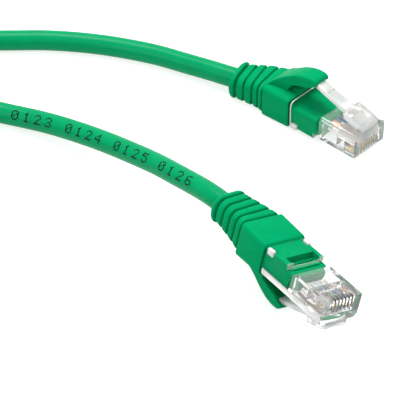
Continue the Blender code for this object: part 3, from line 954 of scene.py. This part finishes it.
def core_stations():
    """The core inside the housing, with a step for the window and a front that leans back."""
    lean = Matrix.Identity(4)
    lean[0][2] = CORE_LEAN
    stations = []
    for x, half_width, low, high in (
        (-22.3, 5.55, -1.15, 5.0),
        (-14.55, 5.55, -1.15, 5.0),
        (-14.45, 5.5, 0.35, 5.0),
        (-12.9, 5.5, 0.35, 5.0),
        (-12.5, 5.35, 0.5, 4.9),
        (-12.3, 3.95, 1.0, 4.7),
        (-10.6, 3.85, 1.2, 4.6),
        (-10.1, 3.5, 1.9, 4.5),
    ):
        stations.append((lean @ at(x), section(half_width, low, high, 0.4, 0.9, 8)))
    return stations


def boot_mesh(name, bend):
    """Green boot: soft ribs and a rounded collar, the block, and the core inside the housing."""
    stations = tail_stations(bend) + block_stations() + core_stations()
    body = finish_mesh(name, loft_bmesh(stations))
    cuts = []
    for side in (-1.0, 1.0):
        low, high = sorted((side * 4.4, side * 6.0))
        cuts.append(block(f"corner_{side}", (-21.9, -19.3), (low, high), (-2.0, 0.4)))
    cuts.append(block("window", (-16.9, -14.0), (-4.2, 4.2), (-2.0, 0.35)))
    for x in (-15.6, -13.6):
        cuts.append(block(f"groove_{x}", (x - 0.2, x + 0.2), (-3.9, 3.9), (0.0, 0.8)))
    carved = combined(name + "_carved", body, cuts, "DIFFERENCE")
    pedestal = block("pedestal", (-29.0, -22.9), (-1.5, 1.5), (6.0, 7.4))
    return combined(name, carved, [pedestal], "UNION")


# The hood's outline along the plug: (X, value) pairs of its top, underside, half width and fillet.
HOOD_TOP = (
    (-31.6, 6.7),
    (-30.6, 7.7),
    (-29.8, 8.4),
    (-28.4, 9.5),
    (-26.1, 11.1),
    (-23.8, 12.5),
    (-21.4, 13.5),
    (-19.2, 13.95),
    (-17.3, 13.95),
    (-16.8, 13.75),
    (-16.6, 13.4),
)
HOOD_LOW = (
    (-31.6, 6.3),
    (-25.9, 6.4),
    (-24.1, 9.25),
    (-22.6, 9.9),
    (-19.0, 11.0),
    (-17.4, 11.9),
    (-16.6, 12.3),
)
HOOD_WIDTH = (
    (-31.6, 4.6),
    (-30.4, 3.9),
    (-29.4, 3.4),
    (-28.0, 2.95),
    (-26.4, 2.75),
    (-18.0, 2.7),
    (-16.6, 2.55),
)
HOOD_FLARE = ((-31.6, 0.9), (-27.4, 0.8), (-26.0, 0.1), (-16.6, 0.02))
HOOD_REAR_X = -31.5
HOOD_LENGTH = 14.9
HOOD_STEPS = 44
HOOD_LEAST_THICKNESS = 1.2
HOOD_ROOM_HALF_WIDTH = 1.95
HOOD_ROOM_LOW = 7.0


def hood_section(half_width, low, high, flare, radius=0.5, steps=5):
    """The hood's outline: rounded upper edges and a fillet that runs out onto the boot below."""
    quarter = [math.radians(90.0 * step / steps) for step in range(steps + 1)]
    foot_y, foot_z = half_width + flare, low + flare
    edge_y, edge_z = half_width - radius, high - radius
    points = [(foot_y - flare * math.sin(a), foot_z - flare * math.cos(a)) for a in quarter]
    points += [(edge_y + radius * math.cos(a), edge_z + radius * math.sin(a)) for a in quarter]
    return points + [(-y, z) for y, z in reversed(points)]


def read(table, x):
    """A table's value at X, with its corners softened."""
    xs, values = zip(*table)
    return sum(float(np.interp(x + d, xs, values)) for d in (-0.25, 0.0, 0.25)) / 3.0


def hood_mesh(name):
    """Green hood: an arm that grows out of the boot, arches over the latch and ends in a blunt lip."""
    stations = []
    for step in range(HOOD_STEPS + 1):
        x = HOOD_REAR_X + HOOD_LENGTH * step / HOOD_STEPS
        high = read(HOOD_TOP, x)
        low = min(read(HOOD_LOW, x), high - HOOD_LEAST_THICKNESS)
        stations.append((at(x), hood_section(read(HOOD_WIDTH, x), low, high, read(HOOD_FLARE, x))))
    stations.append((at(-16.5), hood_section(2.3, 12.5, 13.25, 0.02, 0.2)))
    arm = finish_mesh(name, loft_bmesh(stations))
    room = []
    for x, high in (
        (-28.6, 8.3),
        (-28.2, 8.5),
        (-26.4, 9.9),
        (-24.2, 11.4),
        (-21.6, 12.55),
        (-19.4, 13.15),
        (-18.1, 13.15),
        (-16.6, 12.7),
        (-15.0, 12.2),
    ):
        room.append((at(x), section(HOOD_ROOM_HALF_WIDTH, HOOD_ROOM_LOW, high, 0.1, 0.6, 3)))
    cutter = finish_mesh(name + "_room", loft_bmesh(room))
    return combined(name, arm, [cutter], "DIFFERENCE", 0.06)


WIRE_SIDES = 16
WIRE_STEP = 0.35


def wire_line(way):
    """Centreline of one wire: loose at the core's front, then flat in the row at the contacts."""
    across = across_at(way)
    spread = 0.45 if way % 2 else -0.4
    return smooth_line(
        [
            Vector((-10.2, across * 0.9, 3.8 + spread)),
            Vector((-8.6, across * 0.93, 3.85 + spread)),
            Vector((-7.4, across * 0.97 + 0.06 * math.sin(way * 2.1), 3.9 + spread * 0.7)),
            Vector((-6.0, across, 3.9 + spread * 0.15)),
            Vector((-4.5, across, 3.9)),
            Vector((-1.35, across, 3.9)),
        ],
        WIRE_STEP,
    )


def add_plug(letter):
    """All pieces of one plug in its place."""
    place = PLUGS[letter]

    def add(name, mesh, body, material):
        """One piece in the plug's place."""
        return add_piece(name, mesh, body, MATERIALS[material], place)

    housing = add(f"shell_{letter}", housing_mesh(), "cable", "clear")
    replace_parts(housing, f"housing_{letter}")
    latch = add(f"lever_{letter}", latch_mesh(), f"latch_{letter}", "clear_latch")
    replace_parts(latch, f"latch_{letter}")
    web = add(f"root_web_{letter}", root_web_mesh(), None, "clear_latch")
    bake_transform(web)
    boot_name = f"sleeve_{letter}"
    boot = add(boot_name, boot_mesh(boot_name, TAIL_BEND[letter]), "cable", "boot")
    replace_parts(boot, f"boot_{letter}")
    hood_name = f"cover_{letter}"
    hood = add(hood_name, hood_mesh(hood_name), None, "boot")
    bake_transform(hood)
    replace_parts(hood, f"hood_{letter}")
    for way, colour in enumerate(WIRES):
        name = f"wire_{letter}_{colour}"
        tube = sweep(name, wire_line(way), WIRE_RADIUS, WIRE_SIDES)
        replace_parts(add(f"core_{name}", tube, "cable", colour), name)
        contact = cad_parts[f"contact_{letter}_{way + 1}"]
        contact.data.materials.clear()
        contact.data.materials.append(MATERIALS["gold"])


JACKET_GREEN = (0.0, 0.31, 0.115)
BOOT_GREEN = (0.0, 0.315, 0.115)
ORANGE = (0.62, 0.33, 0.16)
BLUE = (0.03, 0.09, 0.42)
GREEN = (0.01, 0.28, 0.10)
BROWN = (0.18, 0.08, 0.03)
WHITE = (1.0, 1.0, 1.0)
MATERIALS = {
    "jacket": jacket_plastic("green_jacket", JACKET_GREEN),
    "boot": soft_plastic("green_boot", BOOT_GREEN, 0.42, 3000.0, 0.10, 0.012),
    "clear": clear_plastic("clear_shell", WHITE, 0.05, 0.07),
    "clear_over_core": clear_plastic("clear_over_core", WHITE, 0.05, 0.0, 0.005),
    "clear_edge": clear_plastic("clear_edge", WHITE, 0.05, 0.5, 0.3),
    "clear_hazy": clear_plastic("clear_hazy", (0.95, 0.95, 0.95), 0.2, 0.7, 0.6),
    "clear_rib": clear_plastic("clear_rib", (0.87, 0.85, 0.85), 0.12, 0.8),
    "clear_latch": clear_plastic("clear_lever", (0.95, 0.95, 0.95), 0.2, 0.4),
    "clear_shoulder": clear_plastic("clear_shoulder", (0.94, 0.945, 0.94), 0.1, 0.25),
    "gold": gold_plate("contact_gold"),
    "ink": print_ink("black_ink"),
    "strap": strap_fabric("black_strap"),
    "orange": insulation("wire_orange", ORANGE),
    "blue": insulation("wire_blue", BLUE),
    "green": insulation("wire_green", GREEN),
    "brown": insulation("wire_brown", BROWN),
    "white_orange": insulation("wire_white_orange", (0.82, 0.80, 0.76), ORANGE),
    "white_green": insulation("wire_white_green", (0.82, 0.82, 0.78), GREEN),
    "white_blue": insulation("wire_white_blue", (0.80, 0.81, 0.82), BLUE),
    "white_brown": insulation("wire_white_brown", (0.81, 0.79, 0.76), BROWN),
}

add_camera()
add_stage()
add_cord()
for plug in PLUGS:
    add_plug(plug)
